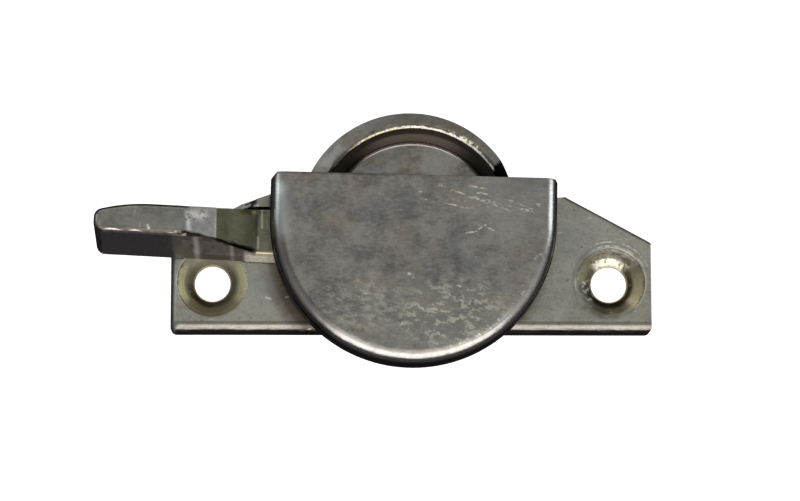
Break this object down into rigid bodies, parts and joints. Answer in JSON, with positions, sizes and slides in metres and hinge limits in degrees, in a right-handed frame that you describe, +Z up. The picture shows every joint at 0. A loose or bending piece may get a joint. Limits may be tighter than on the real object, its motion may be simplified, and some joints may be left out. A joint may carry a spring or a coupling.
{
  "type": "window sweep lock",
  "caption": "Die-cast sash lock: a flat two-ear base, a D-shaped cap, and a lever that turns a cup cam out behind it to hook the keeper.",
  "frame": {"origin": "middle of the line between the two screw holes, on the underside of the base plate", "axes": "+X along the plate through both screw holes, away from the shut lever; +Y towards the keeper; +Z up off the underside"},
  "size_m": [0.0796, 0.0359, 0.014],
  "materials": {
    "plate_casting": "worn satin zinc casting",
    "cap_casting": "worn satin zinc casting, fine scratches",
    "lever_casting": "worn satin zinc casting, bright edges",
    "pin_steel": "dull steel",
    "washer_steel": "plain steel"
  },
  "bodies": {
    "housing": {"base_plate": "plate_casting", "housing_cap": "cap_casting", "pivot_pin": "pin_steel", "spring_washer": "washer_steel"},
    "lever": {"cam_lever": "lever_casting", "thrust_washer": "washer_steel"}
  },
  "joints": [
    {"name": "lever_sweep", "type": "hinge", "parent": "housing", "child": "lever", "pos_m": [0.0001, 0.0074, 0], "axis": [0, 0, 1], "range_deg": [0, 175]}
  ]
}
